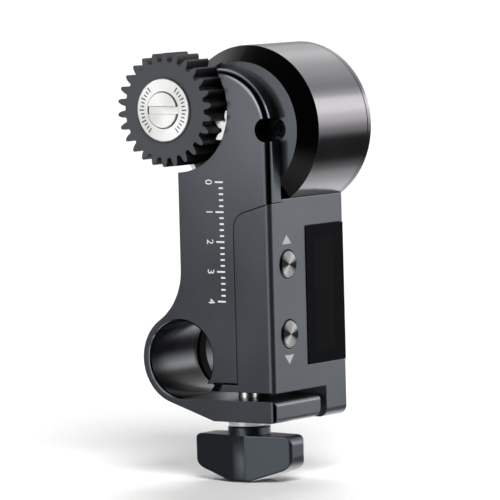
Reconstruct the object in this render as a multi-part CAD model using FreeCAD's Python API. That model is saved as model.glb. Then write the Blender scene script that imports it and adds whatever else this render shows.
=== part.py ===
"""Follow focus motor unit on a 15 mm rod clamp.

Frame: +X right as seen from the gear side, +Y from the gear side to the back, +Z up.
The origin is the centre of the split clamp's bore.  Lengths are in millimetres, and a depth is
measured backwards from the plate's front face.
"""
import FreeCAD, Part
import math
import os

V = FreeCAD.Vector
X_AXIS = V(1, 0, 0)
Y_AXIS = V(0, 1, 0)
Z_AXIS = V(0, 0, 1)

# ---- fits ----
SEAT = 0.05               # gap where one fixed piece seats in another
FACE_GAP = 0.02           # gap between faces that screws draw together
CLEAR = 0.3               # gap between pieces that pass each other
LAP = 0.5                 # how far fused shapes run into each other
PAST = 1.0                # how far a cutting shape runs past the face that it opens

# ---- rod clamp ----
BORE_R = 7.5              # standard 15 mm rod
BORE_CHAMFER = 0.43
RING_WALL = 1.5
SLOT_GAP = 1.7
FOOT_Z = -6.1             # underside of the housing's floor, above the slot
JAW_DEPTH = 15.8
JAW_THICK = 4.2
JAW_KNEE_X = 7.6          # where the jaw's slanted underside turns level
JAW_CORNER_R = 0.9
JAW_FRONT_R = 1.0         # upright edge between the jaw's front and right end
JAW_REAR_R = 2.0
BLOCK_RIGHT_X = 13.2
BLOCK_TOP = 9.0
FOOT_LEFT_X = 7.1
INSERT_R = 2.5
INSERT_TOP = 3.4

# ---- front plate and its arm ----
PLATE_T = 3.9
PLATE_LEFT_X = 0.55
PLATE_FOOT_GAP = 0.35     # open joint between the plate's lower edge and the housing's foot
NECK_R = 12.0             # concave left edge above the ring
ARM_R = 12.3
ARM_DROP = 0.33           # arm arc centre below the motor axis
ARM_END_DEG = 135.0       # where the arm's arc ends, inside the scallop
ARM_EDGE_R = 1.5
NOTCH_R = 2.3             # opening over one gearbox screw
SEAM_GAP = 0.12
SEAM_X = 13.45
SEAM_TURN_Z = 25.7
SEAM_KNEE_X = 16.4
SEAM_KNEE_Z = 29.2
SEAM_END_Z = 30.9         # height of the seam at the right face
SEAM_BULGE = 0.9

# ---- housing ----
RIGHT_X = 22.2
HOUSING_DEPTH = 25.0
HOUSING_TOP = 32.0
HOUSING_SHOULDER = 34.3   # left top corner, under the drum
CORNER_R = 1.2
SIDE_WALL = 1.8
FLOOR_WALL = 1.4
TOP_WALL = 1.6
WEB = 1.5
EYE_DEPTH = 7.0
EYE_BOTTOM = -12.4
EYE_KNEE_X = -1.0         # left end of the eye's level underside
EYE_R = 8.2
EYE_WALL = 2.2
EYE_CORNER_R = 1.8
CORNER_ROOM_LIFT = 1.0

# ---- rear cover ----
COVER_T = 1.5
COVER_LIP = 1.0
POST_R = 1.7
POST_LAP = 0.4            # how far a post stands into the walls
POST_FLOOR = 1.5
COVER_THREAD = 3.0

# ---- socket screws ----
SHANK_R = 0.8
HEAD_R = 1.45
HEAD_H = 1.1
HEAD_ROOM = 0.1
HEX_R = 0.7
HEX_DEEP = 0.65
SMALL_SHANK_R = 0.7
SMALL_HEAD_R = 1.3
SMALL_HEAD_H = 0.7
SMALL_HEX_R = 0.56
SMALL_HEX_DEEP = 0.4
FRAME_SCREW_FRONT = 1.6   # depth of the blind holes' ends in the plate
FRAME_SCREW_MARGIN = 1.2
MOTOR_SCREW_CIRCLE_R = 8.3
MOTOR_SCREW_DEPTH = 2.0   # gearbox screw heads, behind the plate
MOTOR_THREAD = 1.6
DRUM_SCREW_HALF = 3.4
DRUM_THREAD = 2.5
CAP_SCREW_CIRCLE_R = 10.5
CAP_THREAD = 3.2

# ---- gears ----
MODULE = 0.8
GEAR_TEETH = 26
PINION_TEETH = 7
PRESSURE_DEG = 20.0
WORKING_DEG = 23.2        # pressure angle at which the shifted pinion runs with the gear
ROOT_DEPTH = 1.3          # tooth root below the pitch circle, in modules
GEAR_X = 0.22
GEAR_Z = 49.22
GEAR_PHASE = 5.0          # direction of one gear tooth
LINE_DEG = -17.5          # line of centres, gear to pinion
GEAR_FACE = 7.4
GEAR_FRONT = -3.56        # depth of the gear's front face, in front of the plate
TOOTH_THIN = 0.1
TIP_ROUND = 0.24
ROOT_ROUND = 0.2
SCALLOP_R = 12.45
PINION_FACE = 3.35
PINION_FRONT = 0.4
PINION_ROOM = 0.6
PINION_END_GAP = 0.1
PINION_BORE_R = 1.3
PINION_BORE_OPEN = 1.2    # depth of the pinion's bore in front of the shaft's end

# ---- gear hub, disc and screw ----
GEAR_HUB_R = 3.2
GEAR_HUB_FLAT = 2.6       # half the width across the hub's flats
HUB_INSET = 0.4           # hub ends before the gear's back face
AXLE_SHOULDER_R = 1.6
AXLE_END_GAP = 0.1
DISC_R = 6.29
DISC_PROUD = 0.5
DISC_SEAT = 0.8
DISC_EDGE = 0.2
COIN_R = 3.65
COIN_PROUD = 0.4
COIN_SEAT = 0.1
COIN_SLOT = 1.5
COIN_SLOT_DEEP = 0.7
COIN_SHANK_R = 1.2
COIN_SHANK_L = 5.9

# ---- bearings ----
PINION_BEARING_BORE_R = 1.5
PINION_BEARING_R = 4.0
PINION_BEARING_W = 3.0
BEARING_LIP = 0.8
GEAR_BEARING_BORE_R = 1.0
GEAR_BEARING_R = 2.5
GEAR_BEARING_W = 2.5

# ---- motor drum ----
DRUM_R = 16.3
DRUM_BEVEL = 3.1
DRUM_WALL = 1.7
DRUM_FRONT_WALL = 7.2
DRUM_SEAM_INSET = 0.8     # seam before the housing's rear face
DRUM_CAP_T = 1.9
CAP_SPIGOT = 2.0
CAP_BEVEL = 0.7
RIM_EASE = 0.12           # eased rims on both sides of the drum's seam
POCKET_DEPTH = 0.6
CAN_GAP = 1.0             # gearmotor to the drum's inner wall
CAN_BEVEL = 0.8
CAN_BACK_GAP = 1.05
GEARBOX_L = 4.6
GEARBOX_BACK_T = 1.0
SHAFT_ROOM = 0.5
SHAFT_END_GAP = 0.2
ENCODER_R = 7.6

# ---- side panel ----
BUTTON_R = 2.7
BUTTON_HOLE_R = 2.9
BUTTON_PROUD = 0.35
BUTTON_EDGE = 0.25
BUTTON_TRAVEL = 0.4
BUTTON_DEPTH = 5.7
BUTTON_FLANGE_R = 3.3
BUTTON_FLANGE_T = 0.6
FLANGE_GAP = 0.1
STEM_R = 1.0
UPPER_Z = 18.75
LOWER_Z = 5.1
WINDOW_W = 13.14
WINDOW_LOW_Z = -1.4
WINDOW_HIGH_Z = 25.8
WINDOW_PROUD = 0.15
WINDOW_T = 0.9
SCREEN_REAR = 3.3         # screen's edge to the housing's rear face
SCREEN_W = 7.3
SCREEN_MARGIN = 1.9       # screen's ends inside the window's
SCREEN_T = 1.6
LEG_MARGIN = 1.0
LEG_W = 4.5
LEG_T = 2.0

# ---- electronics ----
BOARD_T = 1.0
BOARD_X = 15.6
BOARD_EDGE = 0.9          # gap from the board to the walls round it
SWITCH_SIDE = 3.6
SWITCH_T = 1.3
SWITCH_FLOOR = 0.1
PLUNGER_R = 0.8
PLUNGER_GAP = 0.15
PRESS_GAP = 0.2
CHIP_COUNT = 4
CHIP_DEPTH = 10.0
CHIP_SIDE = 5.0
CHIP_T = 0.75
SOCKET_REAR = 10.5        # power socket's centre to the housing's rear face
SOCKET_DROP = 7.2         # power socket's centre below the top wall
SOCKET_HALF = 3.0
SOCKET_R = 1.6
SOCKET_SHELL = 0.3
SOCKET_LONG = 6.5
SOCKET_INSET = 0.1
SOCKET_FLOOR = 1.0
TONGUE_INSET = 0.8
TONGUE_W = 5.2
TONGUE_T = 0.7

# ---- thumb screw ----
SCREW_X = 10.5
SCREW_R = 1.95
THREAD_CLEAR = 0.05
INSERT_SPARE = 1.0
WASHER_R = 4.1
WASHER_T = 1.3
COLLAR_R = 4.2
COLLAR_H = 1.5
COLLAR_SINK = 2.0
KNOB_NECK_R = 3.4
KNOB_HOLE = 5.0
WING_HALF = 11.5
WING_TIP_T = 4.8
WING_MID_T = 8.4
WING_TOP = -15.1
WING_SIDE_H = 6.2
WING_H = 9.0
WING_FLAT = 5.0
WING_EDGE_R = 0.9
WING_CREASE_R = 12.0      # round between the two halves of a wing knob face
WING_CORNER_R = 1.8
WING_KNEE_R = 3.0         # round between an upright end and the slanted underside

# ---- worked out from the sizes above ----
RING_R = BORE_R + RING_WALL
FRONT = -JAW_DEPTH / 2
FLOOR_TOP = FOOT_Z + FLOOR_WALL
JAW_TOP = FOOT_Z - SLOT_GAP
JAW_BOTTOM = JAW_TOP - JAW_THICK
WASHER_BOTTOM = JAW_BOTTOM - WASHER_T
EYE_FRONT = HOUSING_DEPTH - EYE_DEPTH
PRESSURE = math.radians(PRESSURE_DEG)
WORKING = math.radians(WORKING_DEG)
SHIFT_SPREAD = math.tan(WORKING) - WORKING - math.tan(PRESSURE) + PRESSURE
PINION_SHIFT = SHIFT_SPREAD * (GEAR_TEETH + PINION_TEETH) / (2 * math.tan(PRESSURE))
PINION_TIP_R = MODULE * (PINION_TEETH / 2 + 1 + PINION_SHIFT)
PITCH_DIST = MODULE * (GEAR_TEETH + PINION_TEETH) / 2
CENTRE_DIST = PITCH_DIST * math.cos(PRESSURE) / math.cos(WORKING)
MOTOR_X = GEAR_X + CENTRE_DIST * math.cos(math.radians(LINE_DEG))
MOTOR_Z = GEAR_Z + CENTRE_DIST * math.sin(math.radians(LINE_DEG))
ARM_X = RIGHT_X - ARM_R
ARM_Z = MOTOR_Z - ARM_DROP
DRUM_SEAM = HOUSING_DEPTH - DRUM_SEAM_INSET
DRUM_BACK = DRUM_SEAM + DRUM_CAP_T
DRUM_BORE_R = DRUM_R - DRUM_WALL
DRUM_INNER = PLATE_T + DRUM_FRONT_WALL
POCKET_FLOOR = PLATE_T + POCKET_DEPTH
AXLE_END = POCKET_FLOOR + CLEAR + 2 * GEAR_BEARING_W
SHAFT_R = PINION_BEARING_BORE_R - FACE_GAP
CAN_R = DRUM_BORE_R - CAN_GAP
CAN_FRONT = DRUM_INNER + SEAT + GEARBOX_L
CAN_BACK = DRUM_SEAM - CAN_BACK_GAP
CAVITY_TOP = MOTOR_Z - DRUM_R - TOP_WALL
SWITCH_FACE = BOARD_X + BOARD_T + SWITCH_T
PLUNGER_TOP = SWITCH_FACE + BUTTON_TRAVEL + PRESS_GAP
INNER_X = RIGHT_X - SIDE_WALL
WINDOW_FRONT = HOUSING_DEPTH - WINDOW_W
WINDOW_BACK_X = RIGHT_X + WINDOW_PROUD - WINDOW_T
SOCKET_DEPTH = HOUSING_DEPTH - SOCKET_REAR
SOCKET_Z = CAVITY_TOP - SOCKET_DROP
COVER_SEAT = HOUSING_DEPTH - COVER_T


def at(depth):
    """Y of a plane that lies so far behind the plate's front face."""
    return FRONT + depth


def cyl_y(x, z, r, d0, d1):
    return Part.makeCylinder(r, d1 - d0, V(x, at(d0), z), Y_AXIS)


def cyl_x(depth, z, r, x0, x1):
    return Part.makeCylinder(r, x1 - x0, V(x0, at(depth), z), X_AXIS)


def cyl_z(x, depth, r, z0, z1):
    return Part.makeCylinder(r, z1 - z0, V(x, at(depth), z0), Z_AXIS)


def box(x0, x1, d0, d1, z0, z1):
    return Part.makeBox(x1 - x0, d1 - d0, z1 - z0, V(x0, at(d0), z0))


def path_y(steps, depth):
    """Closed face in the plane at a depth.  A step is (x, z), or (x, z, mid x, mid z) for an arc."""
    edges = []
    last = steps[-1]
    for step in steps:
        start = V(last[0], at(depth), last[1])
        end = V(step[0], at(depth), step[1])
        if len(step) == 4:
            mid = V(step[2], at(depth), step[3])
            edges.append(Part.Arc(start, mid, end).toShape())
        else:
            edges.append(Part.makeLine(start, end))
        last = step
    return Part.Face(Part.Wire(edges))


def prism_y(steps, d0, d1):
    return path_y(steps, d0).extrude(V(0, d1 - d0, 0))


def polar(x, z, r, degrees):
    a = math.radians(degrees)
    return (x + r * math.cos(a), z + r * math.sin(a))


def pick_edges(shape, test):
    return [e for e in shape.Edges if test(e)]


def along(edge, direction):
    """True for a straight edge that runs along a direction."""
    if len(edge.Vertexes) < 2:
        return False
    if not isinstance(edge.Curve, (Part.Line, Part.LineSegment)):
        return False
    run = edge.Vertexes[1].Point.sub(edge.Vertexes[0].Point)
    return run.cross(direction).Length < 1e-6 * max(run.Length, 1)


def near(a, b):
    return abs(a - b) < 1e-6


def chamfer_rim(shape, size, depth):
    """Chamfer the round edges that lie in the plane at a depth."""
    edges = pick_edges(shape, lambda e: near(e.CenterOfMass.y, at(depth)))
    return shape.makeChamfer(size, edges)


def save(name, shape):
    os.makedirs("parts", exist_ok=True)
    shape = shape.removeSplitter()
    shape.exportStep(os.path.join("parts", name + ".step"))
    print(name, len(shape.Solids), round(shape.Volume, 2), shape.isValid())


# ---------------------------------------------------------------- clamp frame
def tangent_to_ring(x, z, r):
    """Lower left tangent point on a circle about the origin, from an outside point."""
    spread = math.acos(r / math.hypot(x, z))
    a = math.atan2(z, x) - spread
    return (r * math.cos(a), r * math.sin(a))


def jaw_body():
    """Lower jaw: slanted up to the ring on the left, rounded at its right end and rear corner."""
    steps = [
        (0, 0),
        tangent_to_ring(JAW_KNEE_X, JAW_BOTTOM, RING_R),
        (JAW_KNEE_X, JAW_BOTTOM),
        (RIGHT_X, JAW_BOTTOM),
        (RIGHT_X, JAW_TOP),
        (0, JAW_TOP),
    ]
    jaw = prism_y(steps, 0, JAW_DEPTH)
    ends = pick_edges(jaw, lambda e: along(e, Y_AXIS) and near(e.Vertexes[0].X, RIGHT_X))
    jaw = jaw.makeFillet(JAW_CORNER_R, ends)
    slab = box(-RING_R - PAST, RIGHT_X, 0, JAW_DEPTH, JAW_BOTTOM, RING_R)

    def low_rear(edge):
        p = edge.Vertexes[0]
        return along(edge, X_AXIS) and near(p.Z, JAW_BOTTOM) and near(p.Y, at(JAW_DEPTH))

    slab = slab.makeFillet(JAW_REAR_R, pick_edges(slab, low_rear))
    return jaw.common(slab.makeFillet(JAW_FRONT_R, pick_edges(slab, front_right)))


def front_right(edge):
    """True for the upright edge at the front right corner."""
    p = edge.Vertexes[0]
    return along(edge, Z_AXIS) and near(p.X, RIGHT_X) and near(p.Y, at(0))


def neck_steps():
    """Left edge of the body, from its straight side down a concave arc tangent to the clamp ring."""
    cx = PLATE_LEFT_X - NECK_R
    cz = math.sqrt((RING_R + NECK_R) ** 2 - cx ** 2)
    share = RING_R / (RING_R + NECK_R)
    touch = (cx * share, cz * share)
    mid = polar(cx, cz, NECK_R, math.degrees(math.atan2(-cz, -cx)) / 2)
    return touch, (PLATE_LEFT_X, cz), mid


def bulged(start, end, rise):
    """Middle point of an arc that rises to the left of the line from start to end."""
    dx = end[0] - start[0]
    dz = end[1] - start[1]
    run = math.hypot(dx, dz)
    return ((start[0] + end[0]) / 2 - dz / run * rise, (start[1] + end[1]) / 2 + dx / run * rise)


def seam_steps(shift):
    """Seam between plate and housing: up, round a bend, and on to the right face."""
    turn = (SEAM_X + shift, SEAM_TURN_Z)
    knee = (SEAM_KNEE_X, SEAM_KNEE_Z - shift)
    return turn, knee, bulged(turn, knee, SEAM_BULGE), (RIGHT_X, SEAM_END_Z - shift)


def plate_body():
    floor = FLOOR_TOP + PLATE_FOOT_GAP
    turn, knee, bend, end = seam_steps(-SEAM_GAP)
    touch, top, mid = neck_steps()
    steps = [
        (turn[0], floor),
        turn,
        knee + bend,
        end,
        (RIGHT_X, ARM_Z),
        polar(ARM_X, ARM_Z, ARM_R, ARM_END_DEG) + polar(ARM_X, ARM_Z, ARM_R, ARM_END_DEG / 2),
        (PLATE_LEFT_X, GEAR_Z),
        top,
        touch + mid,
        (0, 0),
        (0, floor),
    ]
    plate = prism_y(steps, 0, PLATE_T)

    def outer(edge):
        p = edge.CenterOfMass
        if not near(p.y, at(0)):
            return False
        if along(edge, Z_AXIS) and near(p.x, RIGHT_X):
            return True
        return isinstance(edge.Curve, Part.Circle) and near(edge.Curve.Radius, ARM_R)

    return plate.makeFillet(ARM_EDGE_R, pick_edges(plate, outer))


def front_frame():
    floor = FLOOR_TOP + SEAT
    middle = JAW_DEPTH / 2
    body = plate_body()
    body = body.fuse(cyl_y(0, 0, RING_R, 0, JAW_DEPTH))
    body = body.fuse(box(0, BLOCK_RIGHT_X, PLATE_T - LAP, JAW_DEPTH, floor, BLOCK_TOP))
    body = body.cut(box(0, RIGHT_X + PAST, -PAST, JAW_DEPTH + PAST, JAW_TOP, floor))
    body = body.fuse(jaw_body())
    body = body.cut(cyl_y(0, 0, BORE_R, -PAST, JAW_DEPTH + PAST))
    rim = Part.makeCone(BORE_R + BORE_CHAMFER, BORE_R, BORE_CHAMFER, V(0, at(0), 0), Y_AXIS)
    body = body.cut(rim)
    body = body.cut(cyl_y(GEAR_X, GEAR_Z, SCALLOP_R, -PAST, PLATE_T + PAST))
    recess = PINION_FRONT - PINION_END_GAP
    body = body.cut(cyl_y(MOTOR_X, MOTOR_Z, PINION_TIP_R + PINION_ROOM, recess, PLATE_T + PAST))
    notch_x, notch_z = motor_screw_spots()[0]
    body = body.cut(cyl_y(notch_x, notch_z, NOTCH_R, -PAST, PLATE_T + PAST))
    body = body.cut(cyl_z(SCREW_X, middle, SCREW_R + CLEAR, JAW_BOTTOM - PAST, JAW_TOP + PAST))
    body = body.cut(cyl_z(SCREW_X, middle, INSERT_R, FOOT_Z, INSERT_TOP))
    for x, z in frame_screw_spots() + arm_screw_spots():
        body = body.cut(cyl_y(x, z, SHANK_R + SEAT, FRAME_SCREW_FRONT, PLATE_T + PAST))
    return body


# ---------------------------------------------------------------- screws and inserts
def motor_screw_spots():
    return [polar(MOTOR_X, MOTOR_Z, MOTOR_SCREW_CIRCLE_R, a) for a in (0, 120, 240)]


def arm_screw_spots():
    return [polar(MOTOR_X, MOTOR_Z, MOTOR_SCREW_CIRCLE_R, a) for a in (62, -60)]


def frame_screw_spots():
    edge = HEAD_R + FRAME_SCREW_MARGIN
    left = PLATE_LEFT_X + SIDE_WALL + edge
    right = SEAM_X - edge
    low = BLOCK_TOP + WEB + edge
    high = CAVITY_TOP - edge
    return [(left, low), (right, low), (left, high), (right, high)]


def hex_bar(base, out, r, length):
    """Hexagonal bar along Y or Z."""
    side = out.cross(X_AXIS)
    corners = []
    for k in range(6):
        a = math.radians(60 * k)
        corners.append(base + X_AXIS * (r * math.cos(a)) + side * (r * math.sin(a)))
    return Part.Face(Part.makePolygon(corners + [corners[0]])).extrude(out * length)


def screw(seat, out, reach, head_r, head_h, shank_r, hex_r, hex_deep):
    """Socket screw.  Its head stands on the seat, and out points from there to the head's top."""
    head = Part.makeCylinder(head_r, head_h, seat, out)
    shank = Part.makeCylinder(shank_r, reach, seat, out * -1)
    socket = hex_bar(seat + out * (head_h - hex_deep), out, hex_r, hex_deep + PAST)
    return head.fuse(shank).cut(socket)


def socket_screw(seat, out, reach):
    return screw(seat, out, reach, HEAD_R, HEAD_H, SHANK_R, HEX_R, HEX_DEEP)


def sunk_screw(x, z, face, reach):
    """Small screw along Y with its head let in under a rear face, as deep as the head is high."""
    seat = V(x, at(face - SMALL_HEAD_H + SEAT), z)
    head_h = SMALL_HEAD_H - 2 * SEAT
    return screw(seat, Y_AXIS, reach, SMALL_HEAD_R, head_h, SMALL_SHANK_R, SMALL_HEX_R, SMALL_HEX_DEEP)


def sunk_hole(x, z, face, start):
    """Through hole and counterbore for a small screw."""
    hole = cyl_y(x, z, SMALL_SHANK_R + SEAT, start, face + PAST)
    return hole.fuse(cyl_y(x, z, SMALL_HEAD_R + SEAT, face - SMALL_HEAD_H, face + PAST))


def frame_screws():
    seat = PLATE_T + WEB
    reach = seat - FRAME_SCREW_FRONT - SEAT
    return Part.makeCompound(
        [socket_screw(V(x, at(seat), z), Y_AXIS, reach) for x, z in frame_screw_spots()]
    )


def arm_screws():
    seat = DRUM_INNER - HEAD_H - SEAT
    reach = seat - FRAME_SCREW_FRONT - SEAT
    return Part.makeCompound(
        [socket_screw(V(x, at(seat), z), Y_AXIS, reach) for x, z in arm_screw_spots()]
    )


def motor_screws():
    seat = PLATE_T + MOTOR_SCREW_DEPTH + HEAD_H
    reach = DRUM_INNER + MOTOR_THREAD - seat
    return Part.makeCompound(
        [socket_screw(V(x, at(seat), z), Y_AXIS * -1, reach) for x, z in motor_screw_spots()]
    )


def thread_insert():
    middle = JAW_DEPTH / 2
    sleeve = cyl_z(SCREW_X, middle, INSERT_R - FACE_GAP, FLOOR_TOP + SEAT, INSERT_TOP - SEAT)
    return sleeve.cut(cyl_z(SCREW_X, middle, SCREW_R + THREAD_CLEAR, FOOT_Z, INSERT_TOP + PAST))


# ---------------------------------------------------------------- housing
def housing_body():
    """Body behind the plate: straight left side, neck, and a web over the clamp block."""
    touch, top, mid = neck_steps()
    steps = [
        (RIGHT_X, FOOT_Z),
        (RIGHT_X, HOUSING_TOP),
        (MOTOR_X, HOUSING_TOP),
        (PLATE_LEFT_X, HOUSING_SHOULDER),
        top,
        touch + mid,
        (0, 0),
        (0, FOOT_Z),
    ]
    return prism_y(steps, PLATE_T + SEAT, HOUSING_DEPTH)


def front_corner():
    """Front of the housing right of the seam, and the foot under the plate."""
    turn, knee, bend, end = seam_steps(0)
    steps = [
        (RIGHT_X, FOOT_Z),
        end,
        knee,
        turn + bend,
        (turn[0], FLOOR_TOP),
        (FOOT_LEFT_X, FLOOR_TOP),
        (FOOT_LEFT_X, FOOT_Z),
    ]
    return prism_y(steps, 0, PLATE_T + LAP)


def rod_eye():
    """Rear wall round the rod, with a level underside."""
    r = EYE_R + EYE_WALL
    steps = [
        (RIGHT_X, EYE_BOTTOM),
        (RIGHT_X, BLOCK_TOP),
        (0, BLOCK_TOP),
        (0, r),
        (-r, 0) + polar(0, 0, r, 135),
        tangent_to_ring(EYE_KNEE_X, EYE_BOTTOM, r) + polar(0, 0, r, 200),
        (EYE_KNEE_X, EYE_BOTTOM),
    ]
    eye = prism_y(steps, EYE_FRONT, HOUSING_DEPTH)

    def low_right(edge):
        p = edge.Vertexes[0]
        return along(edge, Y_AXIS) and near(p.X, RIGHT_X) and near(p.Z, EYE_BOTTOM)

    return eye.makeFillet(EYE_CORNER_R, pick_edges(eye, low_right))


def cavity_steps(inset):
    """Outline of the room for the electronics, in front view, grown by a negative inset."""
    left = PLATE_LEFT_X + SIDE_WALL + inset
    right = INNER_X - inset
    top = CAVITY_TOP - inset
    web = BLOCK_TOP + WEB + inset
    inner = BLOCK_RIGHT_X + WEB + inset
    floor = FLOOR_TOP + inset
    return [(right, floor), (right, top), (left, top), (left, web), (inner, web), (inner, floor)]


def clamp_room():
    """Space that the clamp's block, ring and jaw take out of the housing."""
    left = -RING_R - EYE_WALL - PAST
    block = box(left, BLOCK_RIGHT_X + SEAT, -PAST, EYE_FRONT, FLOOR_TOP, BLOCK_TOP + SEAT)
    ring = cyl_y(0, 0, RING_R + CLEAR, -PAST, EYE_FRONT)
    under = box(left, FOOT_LEFT_X, -PAST, EYE_FRONT, EYE_BOTTOM, 0)
    return block.fuse([ring, under])


def electronics_room():
    """Main room behind the web, and the narrow room in the front corner for the board's edge."""
    room = prism_y(cavity_steps(0), PLATE_T + WEB, COVER_SEAT + FACE_GAP)
    left = BOARD_X - 2 * CLEAR
    low = FLOOR_TOP + CORNER_ROOM_LIFT
    return room.fuse(box(left, INNER_X, SIDE_WALL, PLATE_T + WEB + LAP, low, CAVITY_TOP))


def main_housing():
    body = housing_body().fuse([front_corner(), rod_eye()])
    body = body.cut(cyl_y(MOTOR_X, MOTOR_Z, DRUM_R + SEAT, PLATE_T - PAST, HOUSING_DEPTH + PAST))
    body = body.makeFillet(CORNER_R, pick_edges(body, front_right))
    body = body.cut(clamp_room())
    body = body.cut(cyl_y(0, 0, EYE_R, -PAST, HOUSING_DEPTH + PAST))
    body = body.cut(electronics_room())
    body = body.fuse(cover_posts())
    body = body.cut(prism_y(cavity_steps(-COVER_LIP), COVER_SEAT, HOUSING_DEPTH + PAST))
    for x, z in cover_screw_spots():
        body = body.cut(cyl_y(x, z, SMALL_SHANK_R + SEAT, COVER_SEAT - COVER_THREAD, HOUSING_DEPTH))
    for z in (UPPER_Z, LOWER_Z):
        body = body.cut(cyl_x(BUTTON_DEPTH, z, BUTTON_HOLE_R, INNER_X - PAST, RIGHT_X + PAST))
    body = body.cut(window_seat())
    body = body.cut(cyl_z(SCREW_X, JAW_DEPTH / 2, SCREW_R + CLEAR, FOOT_Z - PAST, FLOOR_TOP + PAST))
    for x, z in frame_screw_spots():
        body = body.cut(cyl_y(x, z, SHANK_R + SEAT, PLATE_T - PAST, PLATE_T + WEB + PAST))
    for x, depth in drum_screw_spots():
        body = body.cut(cyl_z(x, depth, SHANK_R + SEAT, CAVITY_TOP - PAST, MOTOR_Z))
    inner = PLATE_LEFT_X + SIDE_WALL
    return body.cut(stadium_x(SOCKET_SHELL + SEAT, PLATE_LEFT_X - PAST, inner + PAST))


def cover_screw_spots():
    right_floor, right_top, left_top, left_web, _, _ = cavity_steps(POST_R - POST_LAP)
    return [right_floor, right_top, left_top, left_web]


def cover_posts():
    start = COVER_SEAT - COVER_THREAD - POST_FLOOR
    return [cyl_y(x, z, POST_R, start, COVER_SEAT) for x, z in cover_screw_spots()]


def rear_cover():
    lid = prism_y(cavity_steps(SEAT - COVER_LIP), COVER_SEAT + FACE_GAP, HOUSING_DEPTH)
    for x, z in cover_screw_spots():
        lid = lid.cut(sunk_hole(x, z, HOUSING_DEPTH, COVER_SEAT - PAST))
    return lid


def cover_screws():
    reach = COVER_T + COVER_THREAD - SMALL_HEAD_H
    return Part.makeCompound([sunk_screw(x, z, HOUSING_DEPTH, reach) for x, z in cover_screw_spots()])


# ---------------------------------------------------------------- power socket
def stadium_x(grow, x0, x1):
    """Rounded bar along X, standing on end, with the socket's opening grown evenly."""
    r = SOCKET_R + grow
    low = SOCKET_Z - SOCKET_HALF
    high = SOCKET_Z + SOCKET_HALF
    bar = cyl_x(SOCKET_DEPTH, low, r, x0, x1)
    bar = bar.fuse(cyl_x(SOCKET_DEPTH, high, r, x0, x1))
    return bar.fuse(box(x0, x1, SOCKET_DEPTH - r, SOCKET_DEPTH + r, low, high))


def power_socket():
    mouth = PLATE_LEFT_X + SOCKET_INSET
    end = mouth + SOCKET_LONG
    shell = stadium_x(SOCKET_SHELL, mouth, end)
    shell = shell.cut(stadium_x(0, mouth - PAST, end - SOCKET_FLOOR))
    d0 = SOCKET_DEPTH - TONGUE_T / 2
    z0 = SOCKET_Z - TONGUE_W / 2
    tongue = box(mouth + TONGUE_INSET, end - SOCKET_FLOOR / 2, d0, d0 + TONGUE_T, z0, z0 + TONGUE_W)
    return shell.fuse(tongue)


def socket_board():
    """Board behind the power socket, from the side wall to the main board."""
    left = PLATE_LEFT_X + SIDE_WALL + CLEAR
    d0 = SOCKET_DEPTH + SOCKET_R + SOCKET_SHELL
    half = SOCKET_HALF + 2 * SOCKET_R
    return box(left, BOARD_X, d0, d0 + BOARD_T, SOCKET_Z - half, SOCKET_Z + half)


# ---------------------------------------------------------------- drum and motor
def drum_screw_spots():
    depth = PLATE_T + DRUM_FRONT_WALL / 2
    return [(MOTOR_X - DRUM_SCREW_HALF, depth), (MOTOR_X + DRUM_SCREW_HALF, depth)]


def drum_screw_tip(x):
    return MOTOR_Z - math.sqrt(DRUM_R ** 2 - (x - MOTOR_X) ** 2) + DRUM_THREAD


def drum_screws():
    screws = []
    for x, depth in drum_screw_spots():
        seat = V(x, at(depth), CAVITY_TOP)
        screws.append(socket_screw(seat, Z_AXIS * -1, drum_screw_tip(x) - CAVITY_TOP))
    return Part.makeCompound(screws)


def motor_housing():
    front = PLATE_T + FACE_GAP
    barrel = cyl_y(MOTOR_X, MOTOR_Z, DRUM_R, front + DRUM_BEVEL, DRUM_SEAM)
    barrel = chamfer_rim(barrel, RIM_EASE, DRUM_SEAM)
    bevel = Part.makeCone(DRUM_R - DRUM_BEVEL, DRUM_R, DRUM_BEVEL, V(MOTOR_X, at(front), MOTOR_Z), Y_AXIS)
    body = barrel.fuse(bevel)
    body = body.cut(cyl_y(MOTOR_X, MOTOR_Z, DRUM_BORE_R, DRUM_INNER, DRUM_SEAM + PAST))
    body = body.cut(cyl_y(GEAR_X, GEAR_Z, SCALLOP_R, 0, POCKET_FLOOR))
    body = body.cut(cyl_y(GEAR_X, GEAR_Z, GEAR_BEARING_R + SEAT, 0, AXLE_END + AXLE_END_GAP))
    seat = DRUM_INNER - PINION_BEARING_W - SEAT
    body = body.cut(cyl_y(MOTOR_X, MOTOR_Z, PINION_BEARING_R + SEAT, seat, DRUM_INNER + PAST))
    body = body.cut(cyl_y(MOTOR_X, MOTOR_Z, PINION_BEARING_R - BEARING_LIP, 0, DRUM_INNER))
    head_top = PLATE_T + MOTOR_SCREW_DEPTH
    for x, z in motor_screw_spots():
        body = body.cut(cyl_y(x, z, HEAD_R + HEAD_ROOM, 0, head_top + HEAD_H))
        body = body.cut(cyl_y(x, z, SHANK_R + SEAT, 0, DRUM_INNER + PAST))
    notch_x, notch_z = motor_screw_spots()[0]
    body = body.cut(cyl_y(notch_x, notch_z, NOTCH_R, 0, head_top))
    for x, z in arm_screw_spots():
        body = body.cut(cyl_y(x, z, SHANK_R + SEAT, 0, DRUM_INNER + PAST))
        body = body.cut(cyl_y(x, z, HEAD_R + HEAD_ROOM, DRUM_INNER - HEAD_H - SEAT, DRUM_INNER + PAST))
    for x, depth in drum_screw_spots():
        body = body.cut(cyl_z(x, depth, SHANK_R + SEAT, CAVITY_TOP, drum_screw_tip(x) + SEAT))
    return body


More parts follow.
